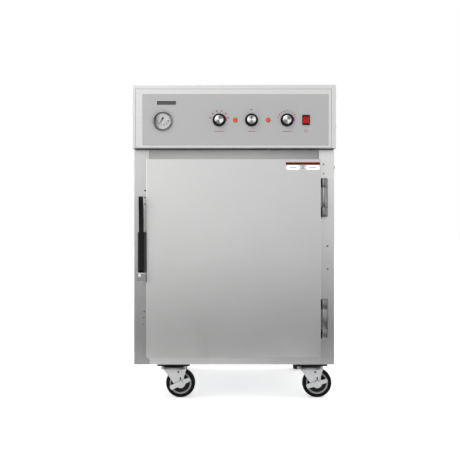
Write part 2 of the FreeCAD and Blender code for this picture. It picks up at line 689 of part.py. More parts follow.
def hinge_frame_leaves():
    """The two end knuckles of each hinge, on arms that reach back to the stile."""
    leaves = []
    for centre in HINGE_CENTRES:
        low = centre - HINGE_HEIGHT / 2
        high = centre + HINGE_HEIGHT / 2
        spans = [
            (low, centre - KNUCKLE_MIDDLE / 2 - KNUCKLE_GAP / 2),
            (centre + KNUCKLE_MIDDLE / 2 + KNUCKLE_GAP / 2, high),
        ]
        pieces = [
            block(HINGE_X - KNUCKLE_R, HINGE_X + KNUCKLE_R + 6, FRAME_Y - 2.2, FRAME_Y - 0.05, low, high)
        ]
        for z0, z1 in spans:
            pieces.append(rod(KNUCKLE_R, (HINGE_X, HINGE_Y, z0), Z_AXIS, z1 - z0))
            pieces.append(
                block(HINGE_X - KNUCKLE_R, HINGE_X + KNUCKLE_R, HINGE_Y, FRAME_Y - 2, z0, z1)
            )
        leaf = fuse(pieces).cut(rod(PIN_R + RUNNING, (HINGE_X, HINGE_Y, low - 1), Z_AXIS, HINGE_HEIGHT + 2))
        leaves.append(leaf)
    return Part.makeCompound(leaves)


def hinge_door_leaves():
    """The middle knuckle of each hinge, on a plate against the door's edge."""
    leaves = []
    for centre in HINGE_CENTRES:
        z0 = centre - KNUCKLE_MIDDLE / 2
        z1 = centre + KNUCKLE_MIDDLE / 2
        knuckle = rod(KNUCKLE_R, (HINGE_X, HINGE_Y, z0), Z_AXIS, KNUCKLE_MIDDLE)
        web = block(DOOR_RIGHT + 0.05, HINGE_X, HINGE_Y - 4, HINGE_Y + 8, z0, z1)
        plate = block(DOOR_RIGHT + 0.05, DOOR_RIGHT + 1.8, HINGE_Y - 7, DOOR_BACK - 3, z0, z1)
        leaf = fuse([knuckle, web, plate]).cut(rod(PIN_R + RUNNING, (HINGE_X, HINGE_Y, z0 - 1), Z_AXIS, 80))
        leaves.append(leaf)
    return Part.makeCompound(leaves)


def hinge_pins():
    """A pin through each hinge's three knuckles, with its ends flush."""
    places = [(HINGE_X, HINGE_Y, centre - HINGE_HEIGHT / 2) for centre in HINGE_CENTRES]
    return Part.makeCompound([rod(PIN_R, place, Z_AXIS, HINGE_HEIGHT) for place in places])


def latch_body():
    """Housing on the door's left edge; its hollow foot holds the lever's pivot pin."""
    right = LATCH_RIGHT - 0.05
    front = FRONT_Y + 1.0
    spine = block(LEVER_LEFT - 1, right, front, DOOR_BACK - 8, LATCH_BOTTOM, LATCH_TOP)
    foot_top = LATCH_BOTTOM + LATCH_FOOT
    foot = block(LATCH_LEFT, right, LATCH_FOOT_FRONT, front, LATCH_BOTTOM, foot_top)
    foot = rounded(foot, 5.0, X_AXIS, lambda e: e.BoundBox.YMax < LATCH_FOOT_FRONT + 1)
    well_left = LEVER_LEFT - 0.4
    well_right = LEVER_RIGHT + 0.4
    well = block(well_left, well_right, LATCH_FOOT_FRONT + 2.0, front, LATCH_BOTTOM + 3, foot_top + 1)
    screw_place = (LATCH_SCREW_X, LATCH_FOOT_FRONT, LATCH_PIVOT_Z + 5.0)
    housing = fuse([spine, foot.cut(well), screw_head(LATCH_SCREW_R, 1.6, screw_place, (0, -1, 0))])
    pin = rod(PIN_R, (LATCH_LEFT + 1.0, LATCH_PIVOT_Y, LATCH_PIVOT_Z), X_AXIS, LATCH_RIGHT - LATCH_LEFT - 2.0)
    return fuse([housing, pin])


def latch_shroud():
    """Two cheeks beside the lever, joined behind it, on the housing above the foot."""
    right = LATCH_RIGHT - 0.05
    back = FRONT_Y + 0.9
    low = LATCH_BOTTOM + LATCH_FOOT + 0.1
    cheeks = [
        block(SHROUD_LEFT, LEVER_LEFT - 0.6, SHROUD_FRONT, back, low, LATCH_TOP),
        block(LEVER_RIGHT + 0.6, right, SHROUD_FRONT, back, low, LATCH_TOP),
        block(SHROUD_LEFT, right, back - 1.2, back, low + 12, LATCH_TOP),
    ]
    return rounded(fuse(cheeks), 3.0, X_AXIS, lambda e: e.BoundBox.YMax < SHROUD_FRONT + 1)


def latch_lever():
    """Long lever: a hub on the pivot, a neck, a straight bar, and a nose that reaches forward."""
    width = LEVER_RIGHT - LEVER_LEFT
    front = FRONT_Y - 22.0
    back = FRONT_Y - 0.8
    neck_front = LATCH_PIVOT_Y - 3.0
    outline = [
        (back - 0.6, LATCH_PIVOT_Z), (back - 0.6, LATCH_TOP - 20), (back - 3.2, LEVER_TOP - 40),
        (back - 23.2, LEVER_TOP - 3), (back - 27.2, LEVER_TOP), (back - 33.2, LEVER_TOP - 2),
        (back - 35.2, LEVER_TOP - 12), (front - 4.0, LEVER_TOP - 60), (front, LATCH_TOP - 30),
        (front, LEVER_BAR_BOTTOM + 4), (front + 4, LEVER_BAR_BOTTOM), (neck_front, LEVER_BAR_BOTTOM),
        (neck_front, LATCH_PIVOT_Z),
    ]
    bar = prism([(LEVER_LEFT, y, z) for y, z in outline], X_AXIS, width)
    hub = rod(6.0, (LEVER_LEFT, LATCH_PIVOT_Y, LATCH_PIVOT_Z), X_AXIS, width)
    bore = rod(PIN_R + RUNNING, (LEVER_LEFT - 1, LATCH_PIVOT_Y, LATCH_PIVOT_Z), X_AXIS, width + 2)
    return fuse([bar, hub]).cut(bore)


def latch_strike():
    """Steel strike on the left stile, behind the latch body."""
    plate = block(LATCH_LEFT, LATCH_RIGHT + 2, FRAME_Y - 2.0, FRAME_Y - 0.05, 384, 478)
    keeper = block(LATCH_LEFT + 5, LATCH_RIGHT - 2, FRAME_Y - 8.0, FRAME_Y - 1.9, 402, 460)
    return fuse([plate, rounded(keeper, 2.5, X_AXIS, lambda e: e.BoundBox.YMax < FRAME_Y - 7)])


# ---- Casters: each is built with its swivel axis on Z and its wheel trailing towards +X ----
def caster_places():
    """Swivel axis and trail direction, in degrees about Z, by corner name."""
    return {
        "front_left": (CASTER_X[0], CASTER_Y[0], 0),
        "front_right": (CASTER_X[1], CASTER_Y[0], 0),
        "rear_left": (CASTER_X[0], CASTER_Y[1], 90),
        "rear_right": (CASTER_X[1], CASTER_Y[1], 90),
    }


def placed(shape, corner):
    x, y, trail = caster_places()[corner]
    shape.rotate(Vector(0, 0, 0), Z_AXIS, trail)
    shape.translate(Vector(x, y, 0))
    return shape


def caster_bolt_places():
    long_pitch = CASTER_PLATE[0] / 2 - 9
    short_pitch = CASTER_PLATE[1] / 2 - 8
    return [
        (cx + sx * long_pitch, cy + sy * short_pitch)
        for cx, cy, trail in caster_places().values()
        for sx in (-1, 1)
        for sy in (-1, 1)
    ]


def caster_plates():
    """Top plates with the upper bearing race and king pin of each caster."""
    plates = []
    width, depth, thickness = CASTER_PLATE
    for cx, cy, trail in caster_places().values():
        z1 = BODY_BOTTOM - 0.05
        plate = block(cx - width / 2, cx + width / 2, cy - depth / 2, cy + depth / 2, z1 - thickness, z1)
        plate = rounded(plate, 6.0, Z_AXIS)
        race = rod(RACE_R, (cx, cy, FORK_TOP + 0.6), Z_AXIS, z1 - thickness - FORK_TOP - 0.5)
        pin = rod(6.0, (cx, cy, FORK_TOP - 5.0), Z_AXIS, 6.0)
        nut = rod(9.0, (cx, cy, FORK_TOP - 5.6), Z_AXIS, 2.4)
        plates.append(fuse([plate, race, pin, nut]))
    plates = Part.makeCompound(plates)
    holes = [rod(3.4, (bx, by, BODY_BOTTOM - 6), Z_AXIS, 8) for bx, by in caster_bolt_places()]
    return plates.cut(holes[0].multiFuse(holes[1:]))


def fork_leg(y):
    """One side of the fork: wide under the crown, tapering to a round end about the axle."""
    ax = CASTER_LEAD
    outline = [
        (ax - 57, 92), (ax - 41, 73.5), (ax - 18, 41), (ax, 38), (ax + 14, 45), (ax + 10.5, 61),
        (ax + 18, 87), (ax + 16, 95.6), (ax - 54, 95.6),
    ]
    leg = prism([(x, y, z) for x, z in outline], Y_AXIS, FORK_SHEET)
    end = rod(15.0, (ax, y, WHEEL_R), Y_AXIS, FORK_SHEET)
    rivet = rod(3.0, (ax - 6, y - 1, 78.5), Y_AXIS, 6)
    slot = rounded(block(ax - 2, ax + 2, y - 1, y + 5, 55, 63), 1.9, Y_AXIS)
    return fuse([leg, end]).cut(rivet).cut(slot)


def caster_fork():
    """Pressed fork under a domed crown, with the axle bolt across its legs."""
    ax = CASTER_LEAD
    rim = FORK_TOP - 9.0
    dome = [
        (6.0 + RUNNING, FORK_TOP), (30.0, FORK_TOP), (38.0, FORK_TOP - 3.0), (CROWN_R, rim),
        (CROWN_R - FORK_SHEET, rim), (36.0, FORK_TOP - 5.0), (29.0, FORK_TOP - FORK_SHEET),
        (6.0 + RUNNING, FORK_TOP - FORK_SHEET),
    ]
    crown = turned(dome, (0, 0, 0), Z_AXIS)
    reach = FORK_GAP / 2 + FORK_SHEET
    fork = fuse([crown, fork_leg(-reach), fork_leg(FORK_GAP / 2)])
    fork = fork.cut(rod(AXLE_R + 0.2, (ax, -40, WHEEL_R), Y_AXIS, 80))
    bolt = rod(AXLE_R, (ax, -reach - 5.2, WHEEL_R), Y_AXIS, 2 * reach + 8.0)
    head = rod(8.0, (ax, -reach - 8.6, WHEEL_R), Y_AXIS, 4.6)
    nut = rod(8.0, (ax, reach + 0.1, WHEEL_R), Y_AXIS, 5.0)
    return Part.makeCompound([fork, fuse([bolt, head, nut])])


def caster_wheel():
    """Wheel with a crowned tyre, a dished side and a hub bored for the axle."""
    half = WHEEL_WIDTH / 2
    hub = FORK_GAP / 2 - 0.4
    bore = AXLE_R + RUNNING
    side = [
        (bore, hub), (10.0, hub), (11.0, half - 5), (28.0, half - 5), (29.5, half - 1.5),
        (33.5, half - 1.5), (34.5, half), (41.0, half), (43.5, half - 2), (WHEEL_R, half - 6),
    ]
    outline = [(radius, -height) for radius, height in side] + side[::-1]
    return turned(outline, (CASTER_LEAD, 0, WHEEL_R), Y_AXIS)


def brake_lever(tilt):
    """Side brake: a plate that turns on the axle, with a foot tab at its raised end."""
    ax = CASTER_LEAD
    y = -FORK_GAP / 2 - FORK_SHEET - 3.4
    plate = rounded(block(ax - 34, ax + 32, y, y + 2.4, WHEEL_R - 7.0, WHEEL_R + 7.0), 4.5, Y_AXIS)
    tab = block(ax + 16, ax + 30, y - 12, y + 2.4, WHEEL_R + 4.6, WHEEL_R + 7.0)
    lever = fuse([plate, tab]).cut(rod(AXLE_R + 0.2, (ax, y - 2, WHEEL_R), Y_AXIS, 8))
    lever.rotate(Vector(ax, 0, WHEEL_R), Y_AXIS, -tilt)
    return lever


# ---- Vent, gland and screws ----
def vent_slide():
    """Sliding cover of the humidity vent on the body's right side, with a finger knob."""
    x0 = HALF + 0.25
    cover = block(x0, x0 + 1.2, VENT_Y - 30, VENT_Y + 30, 664, 748)
    cover = rounded(cover, 4.0, X_AXIS)
    hole_z = VENT_HOLE_Z + VENT_TRAVEL
    slot_low = VENT_SCREW_Z - 3.4
    slot_high = VENT_SCREW_Z + VENT_TRAVEL + 3.4
    cuts = [rod(VENT_HOLE_R, (x0 - 1, y, hole_z), X_AXIS, 4) for y in VENT_HOLES_Y]
    cuts += [
        rounded(block(x0 - 1, x0 + 3, y - 3.2, y + 3.2, slot_low, slot_high), 3.1, X_AXIS)
        for y in VENT_SCREWS_Y
    ]
    cover = cover.cut(cuts[0].multiFuse(cuts[1:]))
    grip = rod(8.0, (x0 + 1.0, VENT_Y, 738), X_AXIS, 3.4)
    return fuse([cover, grip])


def cord_gland():
    """Gland in the head's back for the supply lead."""
    inside = (GLAND_X, REAR_Y - 8, GLAND_Z)
    body = rod(GLAND_R, inside, Y_AXIS, 14)
    flange = rod(GLAND_FLANGE_R, (GLAND_X, REAR_Y + 0.05, GLAND_Z), Y_AXIS, 8)
    nut = rod(GLAND_FLANGE_R, inside, Y_AXIS, 6)
    bore = rod(CORD_BORE_R, (GLAND_X, REAR_Y - 10, GLAND_Z), Y_AXIS, 20)
    return fuse([body, flange, nut]).cut(bore)


def frame_screws():
    """Pan-head screws: spare hinge and latch holes on the stiles, slide guides, vent plate."""
    stile_places = [(-267.0, z) for z in (629.5, 609.5, 590.0)]
    stile_places += [(-271.5, z) for z in (267.0, 249.0, 228.0)]
    stile_places += [(279.8, z) for z in (463.0, 393.8)]
    heads = [screw_head(3.2, 1.8, (x, FRAME_Y, z), (0, -1, 0)) for x, z in stile_places]
    for z in (708.0, 680.0):
        heads.append(screw_head(2.4, 1.4, (268.0, FRAME_Y, z), (0, -1, 0)))
    for y in (-336.0, -272.0):
        for z in (817.0, 909.5):
            heads.append(screw_head(6.0, 3.2, (HALF + 1.2, y, z), (1, 0, 0)))
    heads.append(screw_head(4.5, 2.6, (HALF, -336.0, 783.5), (1, 0, 0)))
    for y in VENT_SCREWS_Y:
        shoulder = rod(2.6, (HALF, y, VENT_SCREW_Z), X_AXIS, 2.0)
        heads.append(fuse([shoulder, screw_head(4.8, 2.4, (HALF + 1.8, y, VENT_SCREW_Z), (1, 0, 0))]))
    return Part.makeCompound(heads)


# ---- Everything by node name ----
def nodes():
    shapes = {
        "left_side_panel": side_panel(-1),
        "right_side_panel": side_panel(1),
        "rear_panel": rear_panel(),
        "base_tray": base_tray(),
        "top_deck": top_deck(),
        "top_rail": rail(OPENING_TOP, BODY_TOP, OPENING_TOP),
        "bottom_rail": rail(BODY_BOTTOM, OPENING_BOTTOM, OPENING_BOTTOM - SHEET),
        "inner_liner": inner_liner(),
        "wall_insulation": wall_insulation(),
        "head_hood": head_hood(),
        "head_floor": head_floor(),
        "control_panel": control_panel(),
        "fascia_overlay": fascia_overlay(),
        "thermometer_case": thermometer_case(),
        "thermometer_dial": thermometer_dial(),
        "thermometer_lens": thermometer_lens(),
        "thermometer_needle": thermometer_needle(),
        "air_thermostat": rotary_control(KNOB_X[0], 44, 50, 38),
        "mode_switch": rotary_control(KNOB_X[1], 36, 36, 28),
        "humidity_thermostat": rotary_control(KNOB_X[2], 44, 50, 38),
        "indicator_lamps": indicator_lamps(),
        "power_switch_body": switch_body(),
        "power_rocker": power_rocker(),
        "side_vent_plate": side_vent_plate(),
        "fan_motor": fan_motor(),
        "fan_wheel": fan_wheel(),
        "fan_plenum": fan_plenum(),
        "air_heater": air_heater(),
        "water_heater": water_heater(),
        "water_pan": water_pan(),
        "left_pan_rack": pan_rack(-1),
        "right_pan_rack": pan_rack(1),
        "door_outer_skin": door_outer_skin(),
        "door_inner_pan": door_inner_pan(),
        "door_insulation": door_insulation(),
        "door_gasket": door_gasket(),
        "hinge_frame_leaves": hinge_frame_leaves(),
        "hinge_door_leaves": hinge_door_leaves(),
        "hinge_pins": hinge_pins(),
        "latch_body": latch_body(),
        "latch_shroud": latch_shroud(),
        "latch_lever": latch_lever(),
        "latch_strike": latch_strike(),
        "caster_plates": caster_plates(),
        "vent_slide": vent_slide(),
        "cord_gland": cord_gland(),
        "frame_screws": frame_screws(),
    }
    for name, x in zip(KNOB_NAMES, KNOB_X):
        shapes[name] = knob(x)
    for corner in caster_places():
        shapes[corner + "_fork"] = placed(caster_fork(), corner)
        shapes[corner + "_wheel"] = placed(caster_wheel(), corner)
    for corner, tilt in BRAKE_TILTS.items():
        shapes[corner + "_brake"] = placed(brake_lever(tilt), corner)
    return shapes


os.makedirs("parts", exist_ok=True)
for node, shape in nodes().items():
    shape.exportStep(os.path.join("parts", node + ".step"))
    if not shape.isValid() or shape.Volume <= 0:
        raise ValueError(node + " is not a valid solid")
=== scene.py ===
"""Looks of the proofing cabinet: materials, small parts and studio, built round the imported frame."""

import json
from math import cos, pi, radians, sin

import bmesh
import bpy
from mathutils import Matrix, Vector


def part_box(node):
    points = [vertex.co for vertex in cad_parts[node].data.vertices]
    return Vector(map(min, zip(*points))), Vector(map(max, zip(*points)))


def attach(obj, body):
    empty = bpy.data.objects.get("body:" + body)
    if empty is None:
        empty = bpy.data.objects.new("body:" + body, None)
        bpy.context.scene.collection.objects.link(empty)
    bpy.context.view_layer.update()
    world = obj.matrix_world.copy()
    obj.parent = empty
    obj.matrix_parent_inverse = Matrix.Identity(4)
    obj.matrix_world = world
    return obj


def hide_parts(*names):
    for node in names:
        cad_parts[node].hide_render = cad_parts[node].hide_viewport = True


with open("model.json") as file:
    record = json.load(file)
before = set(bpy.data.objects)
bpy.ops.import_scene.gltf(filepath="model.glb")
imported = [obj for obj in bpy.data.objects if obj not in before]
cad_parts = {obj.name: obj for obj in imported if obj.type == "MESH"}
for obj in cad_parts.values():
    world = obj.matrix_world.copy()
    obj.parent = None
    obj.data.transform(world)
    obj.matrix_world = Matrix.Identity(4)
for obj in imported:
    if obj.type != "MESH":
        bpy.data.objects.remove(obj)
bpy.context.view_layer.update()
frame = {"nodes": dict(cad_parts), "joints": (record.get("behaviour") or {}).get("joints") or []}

MM = 0.001
NODES = frame["nodes"]


# ---- Places, read from the frame ----
def low(node):
    return Vector(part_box(node)[0])


def high(node):
    return Vector(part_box(node)[1])


def middle(node):
    return (low(node) + high(node)) / 2


def joint_place(name):
    return Vector(next(j["pos_m"] for j in frame["joints"] if j["name"] == name))


OVERLAY_FRONT = low("fascia_overlay").y
CONTROL_Z = joint_place("air_knob_turn").z
FACING_FRONT = Matrix.Rotation(pi / 2, 4, "X")      # turns a piece drawn flat on XY to face -Y
FACING_RIGHT = Matrix.Rotation(pi / 2, 4, "Z") @ FACING_FRONT


# ---- Materials ----
def material(name, color=(0.5, 0.5, 0.5), metallic=0.0, roughness=0.5, **sockets):
    made = bpy.data.materials.new(name)
    made.use_nodes = True
    shader = made.node_tree.nodes["Principled BSDF"]
    shader.inputs["Base Color"].default_value = (*color, 1.0)
    shader.inputs["Metallic"].default_value = metallic
    shader.inputs["Roughness"].default_value = roughness
    for socket, value in sockets.items():
        shader.inputs[socket.replace("_", " ")].default_value = value
    return made


class Graph:
    """Short names for the nodes that the materials below share."""

    def __init__(self, made):
        self.tree = made.node_tree
        self.shader = self.tree.nodes["Principled BSDF"]

    def add(self, kind, **settings):
        node = self.tree.nodes.new(kind)
        for key, value in settings.items():
            setattr(node, key, value)
        return node

    def link(self, source, target):
        self.tree.links.new(source, target)

    def place(self, scale=(1, 1, 1)):
        coordinates = self.add("ShaderNodeTexCoord")
        mapping = self.add("ShaderNodeMapping")
        mapping.inputs["Scale"].default_value = scale
        self.link(coordinates.outputs["Object"], mapping.inputs["Vector"])
        return mapping.outputs["Vector"]

    def noise(self, vector, scale, detail=3.0, roughness=0.6):
        node = self.add("ShaderNodeTexNoise")
        node.inputs["Scale"].default_value = scale
        node.inputs["Detail"].default_value = detail
        node.inputs["Roughness"].default_value = roughness
        self.link(vector, node.inputs["Vector"])
        return node.outputs["Fac"]

    def spread(self, value, low_value, high_value, start=0.3, end=0.7):
        node = self.add("ShaderNodeMapRange")
        node.inputs["From Min"].default_value = start
        node.inputs["From Max"].default_value = end
        node.inputs["To Min"].default_value = low_value
        node.inputs["To Max"].default_value = high_value
        self.link(value, node.inputs["Value"])
        return node.outputs["Result"]

    def mix_color(self, factor, first, second):
        node = self.add("ShaderNodeMix", data_type="RGBA")
        node.inputs["A"].default_value = (*first, 1.0)
        node.inputs["B"].default_value = (*second, 1.0)
        self.link(factor, node.inputs["Factor"])
        self.link(node.outputs["Result"], self.shader.inputs["Base Color"])

    def bump(self, height, strength, distance=0.0002):
        node = self.add("ShaderNodeBump")
        node.inputs["Strength"].default_value = strength
        node.inputs["Distance"].default_value = distance
        self.link(height, node.inputs["Height"])
        self.link(node.outputs["Normal"], self.shader.inputs["Normal"])


def brushed_metal(name, color, grain, roughness=0.34, anisotropy=0.45, painted_shading=None):
    """Grain is the object axis of the brush strokes.

    The last argument, when given, is painted shading: an axis, the places on it where the tone is darkest and
    lightest, and the darkest tone, a gradient of painted light and shade in the base colour.
    """
    made = material(name, color, 1.0, roughness, Anisotropic=anisotropy)
    graph = Graph(made)
    stretch = {"X": (6, 900, 900), "Y": (900, 6, 900), "Z": (900, 900, 6)}[grain]
    strokes = graph.noise(graph.place(stretch), 1.0, 4.0, 0.7)
    clouds = graph.noise(graph.place(), 5.0, 3.0)
    rough = graph.add("ShaderNodeMath", operation="MULTIPLY")
    graph.link(graph.spread(strokes, 0.86, 1.14), rough.inputs[0])
    graph.link(graph.spread(clouds, roughness * 0.93, roughness * 1.07), rough.inputs[1])
    graph.link(rough.outputs["Value"], graph.shader.inputs["Roughness"])
    darker = tuple(channel * 0.93 for channel in color)
    # Painted light and shade: the base colour darkens along one axis, in place of the stroke tone.
    if painted_shading:
        axes = graph.add("ShaderNodeSeparateXYZ")
        graph.link(graph.place(), axes.inputs["Vector"])
        along, places, dark = painted_shading
        graph.mix_color(graph.spread(axes.outputs[along], 0.0, 1.0, *places), (dark,) * 3, color)
    else:
        graph.mix_color(graph.spread(strokes, 0.0, 1.0), darker, color)
    graph.bump(strokes, 0.12, 0.00003)
    tangent = graph.add("ShaderNodeTangent", direction_type="RADIAL", axis="Z" if grain == "Z" else "X")
    graph.link(tangent.outputs["Tangent"], graph.shader.inputs["Tangent"])
    return made


def zinc(name, tone_value):
    """Plated steel with a faint spangle."""
    made = material(name, (tone_value,) * 3, 1.0, 0.45)
    graph = Graph(made)
    cells = graph.add("ShaderNodeTexVoronoi")
    cells.inputs["Scale"].default_value = 90.0
    graph.link(graph.place(), cells.inputs["Vector"])
    tone = graph.add("ShaderNodeRGBToBW")
    graph.link(cells.outputs["Color"], tone.inputs["Color"])
    darker = tuple(tone_value * share for share in (0.88, 0.89, 0.9))
    lighter = tuple(tone_value * share for share in (1.1, 1.12, 1.14))
    graph.mix_color(tone.outputs["Val"], darker, lighter)
    graph.link(graph.spread(tone.outputs["Val"], 0.35, 0.55, 0.0, 1.0), graph.shader.inputs["Roughness"])
    return made


def polished(name, color, roughness=0.16):
    made = material(name, color, 1.0, roughness)
    graph = Graph(made)
    smudge = graph.noise(graph.place(), 140.0, 5.0)
    graph.link(graph.spread(smudge, roughness * 0.7, roughness * 1.5), graph.shader.inputs["Roughness"])
    graph.bump(smudge, 0.05, 0.00005)
    return made


def spun_metal_painted_sheen(name, bright, dark, phase):
    """Turned face: fine rings, and a painted sheen of two bright and two dark lobes in the base colour, as
    light shows on such a face; phase turns the painted sheen, which turns with the knob.
    """
    made = material(name, (bright,) * 3, 1.0, 0.3, Anisotropic=0.6)
    graph = Graph(made)
    place = graph.place()
    rings = graph.add("ShaderNodeTexWave", wave_type="RINGS", rings_direction="Z")
    rings.inputs["Scale"].default_value = 900.0
    rings.inputs["Distortion"].default_value = 0.6
    graph.link(place, rings.inputs["Vector"])
    graph.bump(rings.outputs["Fac"], 0.25, 0.00003)
    # Painted sheen: the base colour swings from dark to bright twice round the axis.
    axes = graph.add("ShaderNodeSeparateXYZ")
    graph.link(place, axes.inputs["Vector"])
    around = graph.add("ShaderNodeMath", operation="ARCTAN2")
    graph.link(axes.outputs["Y"], around.inputs[0])
    graph.link(axes.outputs["X"], around.inputs[1])
    sheen_lobes = graph.add("ShaderNodeMath", operation="MULTIPLY_ADD")
    graph.link(around.outputs["Value"], sheen_lobes.inputs[0])
    sheen_lobes.inputs[1].default_value = 2.0
    sheen_lobes.inputs[2].default_value = radians(phase)
    wave = graph.add("ShaderNodeMath", operation="COSINE")
    graph.link(sheen_lobes.outputs["Value"], wave.inputs[0])
    graph.mix_color(graph.spread(wave.outputs["Value"], 0.0, 1.0, -0.75, 0.75), (dark,) * 3, (bright,) * 3)
    tangent = graph.add("ShaderNodeTangent", direction_type="RADIAL", axis="Z")
    graph.link(tangent.outputs["Tangent"], graph.shader.inputs["Tangent"])
    return made


def plastic(name, color, roughness=0.35, peel=220.0, strength=0.12, **sockets):
    """Moulded plastic or rubber with a fine skin texture."""
    made = material(name, color, 0.0, roughness, **sockets)
    graph = Graph(made)
    skin = graph.noise(graph.place(), peel, 4.0)
    rough = graph.spread(skin, roughness * 0.85, min(1.0, roughness * 1.2))
    graph.link(rough, graph.shader.inputs["Roughness"])
    graph.bump(skin, strength, 0.0001)
    lighter = tuple(min(1.0, channel * 1.25 + 0.004) for channel in color)
    graph.mix_color(graph.spread(skin, 0.0, 1.0), color, lighter)
    return made


def dial_with_painted_shade(name):
    """White dial with painted shade on its left side, darkest at the rim, where the case's deep left side
    would shade it.
    """
    made = material(name, (0.95, 0.95, 0.94), 0.0, 0.4)
    graph = Graph(made)
    axes = graph.add("ShaderNodeSeparateXYZ")
    graph.link(graph.place(), axes.inputs["Vector"])
    left = low("thermometer_dial").x
    # Painted shade: dark at the left rim, fading to white over 14 mm.
    shade = graph.spread(axes.outputs["X"], 0.0, 1.0, left + 2 * MM, left + 16 * MM)
    graph.mix_color(shade, (0.2, 0.2, 0.2), (0.95, 0.95, 0.94))
    return made


# Painted shading holds part of the studio's light and shade in the tone, and stays put when the light or the
# pose changes.
SIDE_PAINTED_SHADING = (0.1, 0.68)         # heights, metres
STEEL = (0.6, 0.6, 0.595)
# Lighter copy of the steel for the head's hood and panel: painted light.
HEAD_STEEL_PAINTED_LIGHT = (0.72, 0.72, 0.715)
